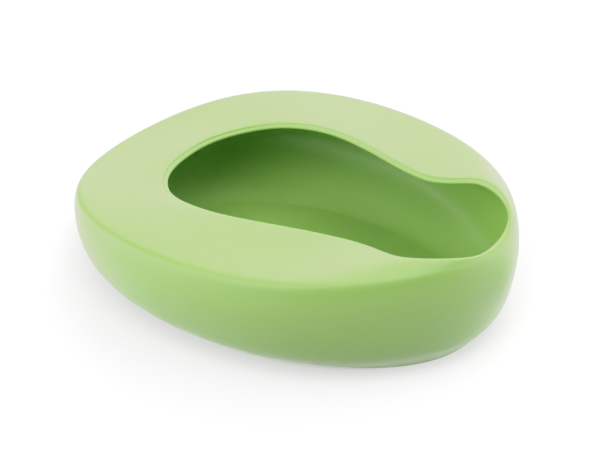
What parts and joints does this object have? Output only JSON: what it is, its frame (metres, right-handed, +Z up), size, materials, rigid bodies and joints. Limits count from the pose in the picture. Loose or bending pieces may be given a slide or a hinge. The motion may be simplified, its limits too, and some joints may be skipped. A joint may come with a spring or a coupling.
{
  "type": "bedpan",
  "caption": "Moulded plastic bedpan: a wedge-shaped body with a broad low seat at the rear, a high front end and a pear-shaped opening with a stepped lip.",
  "frame": {"origin": "on the floor plane, in the middle of the pan's length and width", "axes": "+X towards the high front end, +Y across the pan, +Z up from the foot"},
  "size_m": [0.3701, 0.2944, 0.1014],
  "materials": {
    "green_plastic": "satin"
  },
  "bodies": {
    "root": {"seat_shell": "green_plastic", "bowl_shell": "green_plastic", "weld_bead": "green_plastic"}
  },
  "joints": []
}
